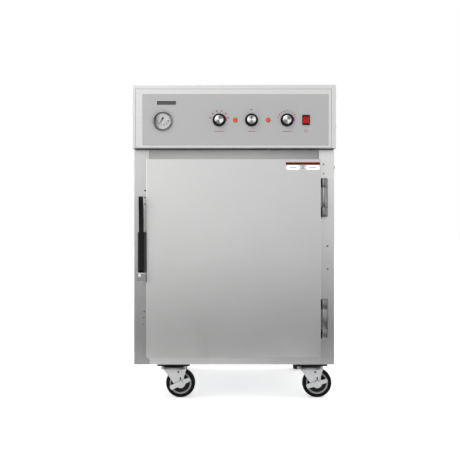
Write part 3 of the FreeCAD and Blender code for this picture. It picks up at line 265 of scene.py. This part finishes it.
# Darker copy of the steel for the top rail: painted shade, as under the head's overhang.
RAIL_STEEL_PAINTED_SHADE = (0.47, 0.47, 0.465)
MATERIALS = {
    "steel_z": brushed_metal("steel_z", STEEL, "Z"),
    # Side panels: painted shade, darker towards the bottom; the left is a darker and the right a lighter copy
    # of the steel, painted light and shade.
    "steel_left_painted_shade": brushed_metal("steel_left_painted_shade", (0.58, 0.58, 0.575), "Z", painted_shading=("Z", SIDE_PAINTED_SHADING, 0.37)),
    "steel_right_painted_shading": brushed_metal("steel_right_painted_shading", (0.7, 0.7, 0.695), "Z", painted_shading=("Z", SIDE_PAINTED_SHADING, 0.41)),
    # Door skin: a lighter copy of the steel with painted shading, lighter on the left and darker towards the
    # right.
    "steel_door_painted_shading": brushed_metal("steel_door_painted_shading", (0.66, 0.66, 0.655), "Z", painted_shading=("X", (0.28, -0.28), 0.56)),
    "steel_x": brushed_metal("steel_x", STEEL, "X"),
    "steel_head_painted_light": brushed_metal("steel_head_painted_light", HEAD_STEEL_PAINTED_LIGHT, "X"),
    # Rails: darker copies of the steel with painted shade, darker towards their right ends.
    "steel_top_rail_painted_shade": brushed_metal("steel_top_rail_painted_shade", RAIL_STEEL_PAINTED_SHADE, "X", painted_shading=("X", (0.26, 0.06), 0.34)),
    "steel_rail_painted_shade": brushed_metal("steel_rail_painted_shade", (0.52, 0.52, 0.515), "X", painted_shading=("X", (0.25, -0.02), 0.38)),
    # Door leaves of the hinges: a dark copy of the brushed steel, painted shade.
    "steel_hinge_painted_shade": brushed_metal("steel_hinge_painted_shade", (0.26, 0.26, 0.26), "Z", 0.3),
    "zinc": zinc("zinc", 0.5),
    "fork_zinc": zinc("fork_zinc", 0.48),
    "chrome": polished("chrome", (0.6, 0.6, 0.6)),
    # Lighter copy of the chrome for the latch screw: painted highlight.
    "chrome_painted_highlight": polished("chrome_painted_highlight", (0.85, 0.85, 0.85), 0.25),
    # Darker copy of the chrome for the latch body: painted shade.
    "latch_chrome_painted_shade": polished("latch_chrome_painted_shade", (0.34, 0.34, 0.34), 0.3),
    # Frame leaves and pins of the hinges: a dark copy of the chrome, painted shade.
    "hinge_chrome_painted_shade": polished("hinge_chrome_painted_shade", (0.2, 0.2, 0.2), 0.3),
    # Dark copy of the chrome for the side vent plate and the screws: painted shade.
    "chrome_painted_shade": polished("chrome_painted_shade", (0.26, 0.26, 0.265), 0.2),
    "spun_left_painted_sheen": spun_metal_painted_sheen("spun_left_painted_sheen", 0.85, 0.2, 60),
    "spun_centre_painted_sheen": spun_metal_painted_sheen("spun_centre_painted_sheen", 0.85, 0.22, 0),
    "spun_right_painted_sheen": spun_metal_painted_sheen("spun_right_painted_sheen", 0.85, 0.2, 90),
    "bezel": polished("bezel", (0.3, 0.3, 0.305), 0.38),
    "overlay": plastic("overlay", (0.265, 0.265, 0.265), 0.5, 900.0, 0.05),
    "black": plastic("black", (0.006, 0.006, 0.006), 0.34, 400.0, 0.06, Specular_IOR_Level=0.3),
    "lever": plastic("lever", (0.004, 0.004, 0.004), 0.42, 300.0, 0.15, Specular_IOR_Level=0.12),
    "knob": plastic("knob", (0.003, 0.003, 0.003), 0.42, 400.0, 0.06, Specular_IOR_Level=0.14),
    "shroud": plastic("shroud", (0.03, 0.03, 0.03), 0.5, 300.0, 0.1, Specular_IOR_Level=0.2),
    # Caster plates and races near-black: partly a dark race, partly painted shade under the body.
    "race_and_painted_shade": plastic("race_and_painted_shade", (0.006, 0.006, 0.006), 0.6, 300.0, 0.1, Specular_IOR_Level=0.08),
    "rubber": plastic("rubber", (0.02, 0.02, 0.02), 0.62, 500.0, 0.3, Specular_IOR_Level=0.3),
    "tyre": plastic("tyre", (0.002, 0.002, 0.002), 0.5, 260.0, 0.2, Specular_IOR_Level=0.08),
    "core": plastic("core", (0.004, 0.004, 0.004), 0.38, 300.0, 0.1, Specular_IOR_Level=0.12),
    "rim": plastic("rim", (0.2, 0.2, 0.2), 0.45, 300.0, 0.1),
    "red": plastic("red", (0.26, 0.003, 0.004), 0.3, 300.0, 0.05, Specular_IOR_Level=0.15,
                   Emission_Color=(1.0, 0.01, 0.01, 1.0), Emission_Strength=0.08),
    "orange": plastic("orange", (0.5, 0.055, 0.0), 0.35, 300.0, 0.05, Specular_IOR_Level=0.12,
                      Emission_Color=(1.0, 0.1, 0.0, 1.0), Emission_Strength=0.08),
    "amber_rim": plastic("amber_rim", (0.14, 0.06, 0.03), 0.35, 300.0, 0.05),
    "wool": plastic("wool", (0.72, 0.66, 0.42), 0.9, 120.0, 0.8),
    "dial": dial_with_painted_shade("dial"),
    "red_ink": plastic("red_ink", (0.2, 0.008, 0.014), 0.5, 900.0, 0.03, Specular_IOR_Level=0.15),
    "faint_ink": plastic("faint_ink", (0.24, 0.23, 0.23), 0.5, 900.0, 0.03),
    "black_ink": plastic("black_ink", (0.02, 0.02, 0.02), 0.5, 900.0, 0.03),
    "white_ink": plastic("white_ink", (0.74, 0.72, 0.73), 0.4, 900.0, 0.03),
    "label_red": plastic("label_red", (0.1, 0.001, 0.001), 0.45, 900.0, 0.03, Specular_IOR_Level=0.08),
    "badge": plastic("badge", (0.035, 0.035, 0.037), 0.35, 900.0, 0.03),
    "glass": material("glass", (1.0, 1.0, 1.0), 0.0, 0.03, Transmission_Weight=1.0, IOR=1.45),
}

NODE_MATERIALS = {
    "steel_z": [
        "door_inner_pan", "inner_liner", "left_pan_rack", "right_pan_rack", "vent_slide",
    ],
    "steel_left_painted_shade": ["left_side_panel"],
    "steel_right_painted_shading": ["right_side_panel"],
    "steel_door_painted_shading": ["door_outer_skin"],
    "steel_x": ["fan_plenum", "water_pan"],
    "steel_head_painted_light": ["head_hood", "control_panel"],
    "steel_top_rail_painted_shade": ["top_rail"],
    "steel_rail_painted_shade": ["bottom_rail"],
    "steel_hinge_painted_shade": ["hinge_door_leaves"],
    "zinc": ["rear_panel", "base_tray", "top_deck", "head_floor", "fan_wheel"],
    "fork_zinc": [
        "front_left_fork", "front_right_fork", "rear_left_fork", "rear_right_fork", "front_left_brake",
        "front_right_brake",
    ],
    "race_and_painted_shade": ["caster_plates"],
    "chrome": ["latch_strike", "air_heater", "water_heater"],
    "latch_chrome_painted_shade": ["latch_body"],
    "bezel": ["thermometer_case"],
    "chrome_painted_shade": ["side_vent_plate"],
    "hinge_chrome_painted_shade": ["hinge_frame_leaves", "hinge_pins"],
    "overlay": ["fascia_overlay"],
    "black": [
        "air_thermostat", "mode_switch", "humidity_thermostat", "fan_motor", "cord_gland",
        "thermometer_needle",
    ],
    "knob": ["left_knob", "centre_knob", "right_knob", "power_switch_body"],
    "lever": ["latch_lever"],
    "shroud": ["latch_shroud"],
    "rubber": ["door_gasket"],
    "red": ["power_rocker"],
    "orange": ["indicator_lamps"],
    "wool": ["wall_insulation", "door_insulation"],
    "dial": ["thermometer_dial"],
    "glass": ["thermometer_lens"],
}
BEVELS = {
    "hinge_frame_leaves": 0.9, "hinge_door_leaves": 0.5, "latch_body": 0.8, "latch_lever": 1.2,
    "latch_shroud": 0.6, "power_switch_body": 0.4, "power_rocker": 0.4, "vent_slide": 0.3,
    "side_vent_plate": 0.3, "front_left_brake": 0.5, "front_right_brake": 0.5, "cord_gland": 0.6,
}


def dress_nodes():
    """Gives every CAD node that stays its finished material."""
    for key, nodes in NODE_MATERIALS.items():
        for node in nodes:
            for slot in NODES[node].material_slots:
                slot.material = MATERIALS[key]
    for node, width in BEVELS.items():
        soften(NODES[node], width * MM)


# ---- Mesh helpers: small parts are drawn about their own origin, then put in place ----
def soften(piece, width):
    """Joins the split corners and rounds every sharp edge a little."""
    weld = piece.modifiers.new("weld", "WELD")
    weld.merge_threshold = 0.01 * MM
    bevel = piece.modifiers.new("bevel", "BEVEL")
    bevel.width = width
    bevel.segments = 3
    bevel.limit_method = "ANGLE"
    bevel.angle_limit = radians(35)
    bevel.use_clamp_overlap = True
    bevel.harden_normals = True


def finish_mesh(shape, name):
    bmesh.ops.recalc_face_normals(shape, faces=shape.faces)
    mesh = bpy.data.meshes.new(name)
    shape.to_mesh(mesh)
    shape.free()
    mesh.polygons.foreach_set("use_smooth", [True] * len(mesh.polygons))
    mesh.set_sharp_from_angle(angle=radians(32))
    return mesh


def add_piece(name, mesh, key, body, place=(0, 0, 0), turn=None):
    made = bpy.data.objects.new(name, mesh)
    mesh.materials.append(MATERIALS[key])
    made.matrix_world = Matrix.Translation(place) @ (turn or Matrix.Identity(4))
    bpy.context.collection.objects.link(made)
    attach(made, body)
    return made


def revolve(shape, outline, segments=72, closed=False, matrix=None):
    """Turns (radius, height) points in mm about Z. A radius may be a function of the angle."""
    rings = []
    for radius, height in outline:
        if radius == 0:
            rings.append([shape.verts.new((0, 0, height * MM))])
            continue
        ring = []
        for i in range(segments):
            angle = 2 * pi * i / segments
            r = (radius(angle) if callable(radius) else radius) * MM
            ring.append(shape.verts.new((r * cos(angle), r * sin(angle), height * MM)))
        rings.append(ring)
    pairs = list(zip(rings, rings[1:]))
    if closed:
        pairs.append((rings[-1], rings[0]))
    for first, second in pairs:
        for i in range(segments):
            j = (i + 1) % segments
            corners = [first[i % len(first)], first[j % len(first)]]
            corners += [second[j % len(second)], second[i % len(second)]]
            unique = list(dict.fromkeys(corners))
            if len(unique) > 2:
                shape.faces.new(unique)
    if matrix:
        verts = [vert for ring in rings for vert in ring]
        bmesh.ops.transform(shape, matrix=matrix, verts=verts)


def turned_mesh(name, outline, segments=72, closed=False):
    shape = bmesh.new()
    revolve(shape, outline, segments, closed)
    return finish_mesh(shape, name)


def raise_outline(shape, outline, height, matrix=None):
    """Raises a flat outline of (x, y) points in mm from 0 to height, in mm, along Z."""
    under = [shape.verts.new((x * MM, y * MM, 0)) for x, y in outline]
    over = [shape.verts.new((x * MM, y * MM, height * MM)) for x, y in outline]
    count = len(outline)
    shape.faces.new(under[::-1])
    shape.faces.new(over)
    for i in range(count):
        j = (i + 1) % count
        shape.faces.new([under[i], under[j], over[j], over[i]])
    if matrix:
        bmesh.ops.transform(shape, matrix=matrix, verts=under + over)


def round_box(width, height, radius, x=0.0, y=0.0, steps=6):
    """Outline of a rectangle with round corners."""
    points = []
    for sx, sy, start in ((1, 1, 0), (-1, 1, 90), (-1, -1, 180), (1, -1, 270)):
        cx = x + sx * (width / 2 - radius)
        cy = y + sy * (height / 2 - radius)
        for i in range(steps + 1):
            angle = radians(start + 90 * i / steps)
            points.append((cx + radius * cos(angle), cy + radius * sin(angle)))
    return points


def clock(degrees, radius):
    """A point at degrees clockwise from the top."""
    return radius * sin(radians(degrees)), radius * cos(radians(degrees))


def arc_band(start, end, inner, outer_start, outer_end, steps=18):
    """A band round a knob, from start to end clockwise, whose width grows along it."""
    shares = [i / steps for i in range(steps + 1)]
    outside = []
    for share in shares:
        outer = outer_start + (outer_end - outer_start) * share
        outside.append(clock(start + (end - start) * share, outer))
    inside = [clock(start + (end - start) * share, inner) for share in reversed(shares)]
    return outside + inside


def add_number(shape, text, size, x, y, height, weight=0.0):
    """Puts a number into shape, centred on x and y in mm; weight thickens its strokes."""
    curve = bpy.data.curves.new("number", "FONT")
    curve.body = text
    curve.size = size * MM
    curve.align_x = "CENTER"
    curve.align_y = "CENTER"
    curve.extrude = height * MM / 2
    curve.offset = weight * MM
    curve.resolution_u = 3
    holder = bpy.data.objects.new("number", curve)
    bpy.context.collection.objects.link(holder)
    bpy.context.view_layer.update()
    solid = holder.evaluated_get(bpy.context.evaluated_depsgraph_get())
    mesh = bpy.data.meshes.new_from_object(solid)
    mesh.transform(Matrix.Translation((x * MM, y * MM, height * MM / 2)))
    shape.from_mesh(mesh)
    bpy.data.objects.remove(holder)
    bpy.data.meshes.remove(mesh)
    bmesh.ops.remove_doubles(shape, verts=shape.verts, dist=0.001 * MM)


# ---- Control panel ----
KNOBS = {"left_knob": "air_knob_turn", "centre_knob": "mode_knob_turn", "right_knob": "humidity_knob_turn"}
CAPS = {"left_knob": (180, "spun_left_painted_sheen"), "centre_knob": (0, "spun_centre_painted_sheen"), "right_knob": (180, "spun_right_painted_sheen")}
INK_HEIGHT = 0.08
DIAL_INK_HEIGHT = 0.05
DIAL_TICK_R = 21.2
DIAL_NUMBER_R = 17.2
NAMEPLATE_PLACE = (71, 26)      # right of and below the overlay's top left corner
SCALE_R = 27.2
SKIRT_R = (high("left_knob").x - low("left_knob").x) / 2 / MM
CAP_R = 12.6


def knob_cap(knob, joint, pointer, key):
    """Spun metal cap on the grip, with a pointer line on it."""
    place = (joint_place(joint).x, low(knob).y, CONTROL_Z)
    outline = [
        (0, 0.9), (1.6, 0.9), (2.0, 0.6), (2.4, 0.9), (CAP_R - 2.4, 0.9), (CAP_R - 1.0, 0.7),
        (CAP_R - 0.3, 0.3), (CAP_R, 0.0), (0, 0.0),
    ]
    name = knob + "_cap"
    add_piece(name, turned_mesh(name, outline, 96), key, knob, place, FACING_FRONT)
    shape = bmesh.new()
    turn = Matrix.Rotation(-radians(pointer), 4, "Z")
    raise_outline(shape, round_box(1.3, 8.4, 0.6, 0, CAP_R - 5.4), 1.0, turn)
    name = knob + "_pointer"
    add_piece(name, finish_mesh(shape, name), "black_ink", knob, place, FACING_FRONT)


def dash_row(shape, width, z, x):
    """A row of plain printed dashes, centred at x and z."""
    count = int(width / 3.4)
    for i in range(count):
        dash = 2.3 if i % 3 else 1.5
        at = x + (i - (count - 1) / 2) * width / count
        raise_outline(shape, round_box(dash, 2.5, 0.5, at, z, 3), INK_HEIGHT)


def panel_print():
    """Numbers, ticks and marks printed on the overlay round the controls."""
    red = bmesh.new()
    faint = bmesh.new()
    knob_x = [joint_place(joint).x / MM for joint in KNOBS.values()]
    for i, text in enumerate(("30", "45", "60", "75", "90", "110")):
        x, z = clock(-76 + 30.4 * i, SCALE_R)
        add_number(red, text, 4.6, knob_x[0] + x, z, INK_HEIGHT, 0.34)
    for i in range(9):
        x, z = clock(-74 + 18.5 * i, SCALE_R)
        add_number(red, str(i + 1), 4.8, knob_x[2] + x, z, INK_HEIGHT, 0.44)
    for x in (knob_x[0], knob_x[2]):
        band = arc_band(25, 96, SKIRT_R + 0.1, SKIRT_R + 0.5, SKIRT_R + 4.0)
        raise_outline(red, [(x + px, pz) for px, pz in band], INK_HEIGHT)
        for i in range(7):
            tick = Matrix.Translation((x * MM, 0, 0)) @ Matrix.Rotation(-radians(-76 + 12.6 * i), 4, "Z")
            raise_outline(faint, round_box(0.5, 1.8, 0.2, 0, SKIRT_R + 2.6, 2), INK_HEIGHT, tick)
    raise_outline(red, round_box(7.6, 2.0, 0.9, knob_x[1], 31.2), INK_HEIGHT)
    for degrees in (-115, -90, -60, -30, 30, 60):
        tick = Matrix.Translation((knob_x[1] * MM, 0, 0)) @ Matrix.Rotation(-radians(degrees), 4, "Z")
        raise_outline(faint, round_box(0.7, 3.0, 0.3, 0, SCALE_R - 1.5, 2), INK_HEIGHT, tick)
    for x, width in zip(knob_x, (29, 23, 29)):
        dash_row(red, width, -33.5, x)
    switch_x = middle("power_switch_body").x / MM
    ring = Matrix.Translation((switch_x * MM, -32.4 * MM, 0))
    ring_outline = [clock(35 + 290 * i / 30, 5.2) for i in range(31)]
    ring_outline += [clock(325 - 290 * i / 30, 4.2) for i in range(31)]
    raise_outline(red, ring_outline, INK_HEIGHT, ring)
    raise_outline(red, round_box(1.0, 5.0, 0.4, 0, 3.6), INK_HEIGHT, ring)
    place = (0, OVERLAY_FRONT, CONTROL_Z)
    mesh = finish_mesh(red, "red_print")
    add_piece("red_print", mesh, "red_ink", "cabinet", place, FACING_FRONT)
    mesh = finish_mesh(faint, "grey_print")
    add_piece("grey_print", mesh, "faint_ink", "cabinet", place, FACING_FRONT)


def lamp_rims():
    lamp = bmesh.new()
    outline = [(5.1, 1.3), (5.3, 2.0), (6.1, 2.0), (6.5, 1.4), (6.5, 0.1), (5.1, 0.1)]
    box_low, box_high = low("indicator_lamps"), high("indicator_lamps")
    radius = (box_high.z - box_low.z) / 2
    for x in (box_low.x + radius, box_high.x - radius):
        revolve(lamp, outline, 48, True, Matrix.Translation((x, 0, 0)))
    add_piece("lamp_rims", finish_mesh(lamp, "lamp_rims"), "amber_rim", "cabinet",
              (0, OVERLAY_FRONT, CONTROL_Z), FACING_FRONT)


def nameplate():
    """Blank badge near the overlay's top left corner."""
    corner = Vector((low("fascia_overlay").x, 0, high("fascia_overlay").z))
    place = (corner.x + NAMEPLATE_PLACE[0] * MM, OVERLAY_FRONT, corner.z - NAMEPLATE_PLACE[1] * MM)
    rim = bmesh.new()
    raise_outline(rim, round_box(60, 15, 4), 0.6)
    mesh = finish_mesh(rim, "nameplate_rim")
    made = add_piece("nameplate_rim", mesh, "chrome", "cabinet", place, FACING_FRONT)
    soften(made, 0.2 * MM)
    face = bmesh.new()
    raise_outline(face, round_box(57, 12, 3), 0.75)
    mesh = finish_mesh(face, "nameplate_face")
    made = add_piece("nameplate_face", mesh, "badge", "cabinet", place, FACING_FRONT)
    soften(made, 0.15 * MM)


def gauge_print():
    """Scale of the thermometer: ticks and numbers about the needle's pivot."""
    pivot = joint_place("needle_swing")
    shape = bmesh.new()
    for i in range(27):
        major = i % 5 == 0 or i == 26
        turn = Matrix.Rotation(radians(180 - 65 + 5 * i), 4, "Z")
        width, length = (0.9, 3.0) if major else (0.4, 1.6)
        raise_outline(shape, round_box(width, length, 0.15, 0, DIAL_TICK_R, 2), DIAL_INK_HEIGHT, turn)
    for i, text in enumerate(("0", "20", "40", "60", "80", "100")):
        x, z = clock(180 + 65 - 26 * i, DIAL_NUMBER_R)
        add_number(shape, text, 3.8, x, z, DIAL_INK_HEIGHT, 0.14)
    place = (pivot.x, low("thermometer_dial").y, pivot.z)
    mesh = finish_mesh(shape, "gauge_scale")
    add_piece("gauge_scale", mesh, "black_ink", "cabinet", place, FACING_FRONT)


def rocker_marks():
    """Line and ring on the two faces of the power rocker."""
    rocker = middle("power_rocker")
    height = (high("power_rocker").z - low("power_rocker").z) / MM
    shape = bmesh.new()
    lower = Matrix.Translation((0, -height / 4 * MM, 0.55 * MM)) @ Matrix.Rotation(radians(-8), 4, "X")
    upper = Matrix.Translation((0, height / 4 * MM, 1.2 * MM)) @ Matrix.Rotation(radians(15), 4, "X")
    raise_outline(shape, round_box(0.9, 4.2, 0.4), 0.3, lower)
    revolve(shape, [(2.2, 0), (2.2, 0.3), (1.5, 0.3), (1.5, 0)], 40, True, upper)
    place = (rocker.x, low("power_rocker").y + 2.2 * MM, CONTROL_Z)
    mesh = finish_mesh(shape, "rocker_marks")
    add_piece("rocker_marks", mesh, "red_ink", "power_rocker", place, FACING_FRONT)


# ---- Door label, screws ----
LABEL_PLACE = (53.4, 21)        # left of and below the door's top right corner
LATCH_SCREW_PLACE = (7, 1.65, 20)   # from the latch body's lowest corner


def door_label():
    """Blank label near the door's top right corner: a red band over two white fields."""
    door_low, door_high = low("door_outer_skin"), high("door_outer_skin")
    place = (door_high.x - LABEL_PLACE[0] * MM, door_low.y, door_high.z - LABEL_PLACE[1] * MM)
    band = bmesh.new()
    raise_outline(band, round_box(100.6, 7.6, 0.6, 0, 8.3), 0.12)
    fields = bmesh.new()
    bars = bmesh.new()
    for x, width in ((-29.0, 40.0), (29.0, 42.0)):
        raise_outline(fields, round_box(width, 13.6, 6.2, x, -3.6), 0.12)
        raise_outline(bars, round_box(width * 0.5, 2.6, 1.2, x, -3.4), 0.16)
    mark = [(-5.5, -7.5), (5.5, -7.5), (1.6, -1.8), (4.5, 2.8), (-4.5, 2.8), (-1.6, -1.8)]
    raise_outline(bars, mark, 0.16)
    for name, shape, key, slot in (
        ("label_band", band, "label_red", "red_plastic"),
        ("label_fields", fields, "white_ink", "white_dial"),
        ("label_bars", bars, "faint_ink", "grey_overlay"),
    ):
        add_piece(name, finish_mesh(shape, name), key, "door", place, FACING_FRONT)


def islands(node):
    """Lowest and highest corner of each loose part of a CAD node."""
    shape = bmesh.new()
    shape.from_mesh(NODES[node].data)
    bmesh.ops.remove_doubles(shape, verts=shape.verts, dist=0.01 * MM)
    left = set(shape.verts)
    found = []
    while left:
        stack = [left.pop()]
        part = list(stack)
        while stack:
            for edge in stack.pop().link_edges:
                for vert in edge.verts:
                    if vert in left:
                        left.remove(vert)
                        stack.append(vert)
                        part.append(vert)
        found.append((
            Vector([min(v.co[i] for v in part) for i in range(3)]),
            Vector([max(v.co[i] for v in part) for i in range(3)]),
        ))
    shape.free()
    return sorted(found, key=lambda box: tuple(box[0]))


def screws():
    """Pan-head screws with a cross recess, one on each CAD screw."""
    shape = bmesh.new()
    for box_low, box_high in islands("frame_screws"):
        size = box_high - box_low
        centre = (box_low + box_high) / 2
        sideways = size.x < size.z * 0.7 and centre.x > 0.29
        radius = size.z / 2 / MM
        height = (size.x if sideways else size.y) / MM
        if sideways:
            matrix = Matrix.Translation((box_low.x, centre.y, centre.z)) @ FACING_RIGHT
        else:
            matrix = Matrix.Translation((centre.x, box_high.y, centre.z)) @ FACING_FRONT

        def recess(angle, share=1.0, reach=radius):
            return reach * share * (0.14 + 0.34 * abs(cos(2 * angle)) ** 5)

        outline = [
            (0, 0.0), (radius * 0.9, 0.0), (radius, height * 0.05), (radius * 0.985, height * 0.35),
            (radius * 0.9, height * 0.66), (radius * 0.72, height * 0.88), (radius * 0.52, height * 0.97),
            (recess, height), (lambda angle: recess(angle, 0.86), height * 0.55), (0, height * 0.42),
        ]
        revolve(shape, outline, 64, False, matrix)
    mesh = finish_mesh(shape, "cross_screws")
    # The screws take the dark copy of the chrome: painted shade.
    made = add_piece("cross_screws", mesh, "chrome_painted_shade", "cabinet")
    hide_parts("frame_screws")


def latch_screw():
    """Domed screw in the latch's foot, over the CAD head."""
    outline = [(0, 0), (4.1, 0), (4.05, 0.7), (3.5, 1.35), (2.3, 1.75), (0, 1.9)]
    place = low("latch_body") + Vector(LATCH_SCREW_PLACE) * MM
    mesh = turned_mesh("latch_screw", outline, 48)
    add_piece("latch_screw", mesh, "chrome_painted_highlight", "door", place, FACING_FRONT)


# ---- Casters ----
TYRE_HALF_WIDTH = 13.4


def caster_wheel(corner):
    """Tyre with side lines, grey rim, ribbed core and hub, in place of the CAD wheel."""
    node = corner + "_wheel"
    axle = joint_place(corner + "_roll")
    centre = middle(node)
    front = corner.startswith("front")
    turn = FACING_FRONT if front else FACING_RIGHT
    place = (axle.x if front else centre.x, centre.y if front else axle.y, axle.z)
    r = (high(node).z - low(node).z) / 2 / MM
    half = TYRE_HALF_WIDTH
    side = [
        (r - 10.8, half - 1.6), (r - 10.0, half), (r - 8.2, half), (r - 7.8, half - 0.5), (r - 7.4, half),
        (r - 3.4, half), (r - 1.6, half - 0.9), (r - 0.4, half - 3.6), (r, half - 6.4),
    ]
    outline = side + [(radius, -height) for radius, height in reversed(side)]
    name = corner + "_tyre"
    mesh = turned_mesh(name, outline, 120, True)
    tyre = add_piece(name, mesh, "tyre", node, place, turn)
    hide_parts(node)
    rim_side = [
        (r - 16.6, half - 4.8), (r - 15.4, half - 2.4), (r - 14.6, half - 1.4), (r - 11.4, half - 1.4),
        (r - 10.9, half - 2.0),
    ]
    outline = rim_side + [(radius, -height) for radius, height in reversed(rim_side)]
    name = corner + "_rim"
    mesh = turned_mesh(name, outline, 120, True)
    add_piece(name, mesh, "rim", node, place, turn)
    core = bmesh.new()
    core_side = [
        (5.1, 15.4), (9.4, 15.4), (10.0, 14.6), (10.6, half - 4.6), (12.0, 8.2), (26.0, 8.2), (27.9, 8.8),
    ]
    outline = core_side + [(radius, -height) for radius, height in reversed(core_side)]
    revolve(core, outline, 96, True)
    for i in range(8):
        rib = Matrix.Rotation(2 * pi * i / 8, 4, "Z") @ Matrix.Translation((0, 0, -8.7 * MM))
        raise_outline(core, round_box(16.5, 2.0, 0.8, 18.6, 0), 17.4, rib)
    name = corner + "_core"
    add_piece(name, finish_mesh(core, name), "core", node, place, turn)


# ---- Studio ----
CAMERA_PLACE = (-0.0125, -3.348, 0.511)
LENS = 79.0


def camera():
    data = bpy.data.cameras.new("camera")
    data.lens = LENS
    data.clip_end = 60
    made = bpy.data.objects.new("camera", data)
    made.location = CAMERA_PLACE
    made.rotation_euler = (pi / 2, 0, 0)
    bpy.context.collection.objects.link(made)
    bpy.context.scene.camera = made


def area_light(name, place, target, size, power):
    data = bpy.data.lights.new(name, "AREA")
    data.shape = "RECTANGLE"
    data.size, data.size_y = size
    data.energy = power
    made = bpy.data.objects.new(name, data)
    made.location = place
    made.rotation_euler = (Vector(target) - Vector(place)).to_track_quat("-Z", "Y").to_euler()
    made.visible_camera = False
    bpy.context.collection.objects.link(made)


def flat(name, x0, x1, y0, y1, z, color, glow=0.0):
    """A level rectangle of the studio."""
    mesh = bpy.data.meshes.new(name)
    mesh.from_pydata([(x0, y0, z), (x1, y0, z), (x1, y1, z), (x0, y1, z)], [], [(0, 1, 2, 3)])
    made = bpy.data.objects.new(name, mesh)
    surface = plastic(name, color, 0.9, 20.0, 0.02, Emission_Color=(1, 1, 1, 1), Emission_Strength=glow)
    mesh.materials.append(surface)
    bpy.context.collection.objects.link(made)
    return made


def studio():
    bpy.context.scene.view_settings.view_transform = "Standard"
    world = bpy.data.worlds.new("world")
    world.use_nodes = True
    world.node_tree.nodes["Background"].inputs["Color"].default_value = (1, 1, 1, 1)
    world.node_tree.nodes["Background"].inputs["Strength"].default_value = 1.0
    bpy.context.scene.world = world
    flat("floor", -30, 30, -30, 30, 0.0, (0.9, 0.9, 0.9), 0.45)
    # Dark cards that the camera doesn't see, to give the steel something to reflect.
    for name, x0, x1, y0, y1 in (
        ("flag_card", -2.5, 2.5, -5.0, -0.85), ("flag_left", -5.0, -0.75, -0.85, 2.5),
        ("flag_right", 0.75, 5.0, -0.85, 2.5), ("flag_back", -0.75, 0.75, 0.9, 5.0),
    ):
        card = flat(name, x0, x1, y0, y1, 0.004, (0.05, 0.05, 0.05))
        card.visible_camera = False
        card.visible_shadow = False
        card.visible_diffuse = False
    area_light("overhead", (-0.7, -1.5, 2.3), (0, -0.35, 0.8), (1.4, 0.9), 14)
    area_light("left_fill", (-1.7, -1.9, 1.2), (-0.15, -0.38, 0.5), (0.9, 1.2), 9)


camera()
dress_nodes()
for knob, joint in KNOBS.items():
    knob_cap(knob, joint, *CAPS[knob])
panel_print()
lamp_rims()
nameplate()
gauge_print()
rocker_marks()
door_label()
screws()
latch_screw()
for corner in ("front_left", "front_right", "rear_left", "rear_right"):
    caster_wheel(corner)
studio()
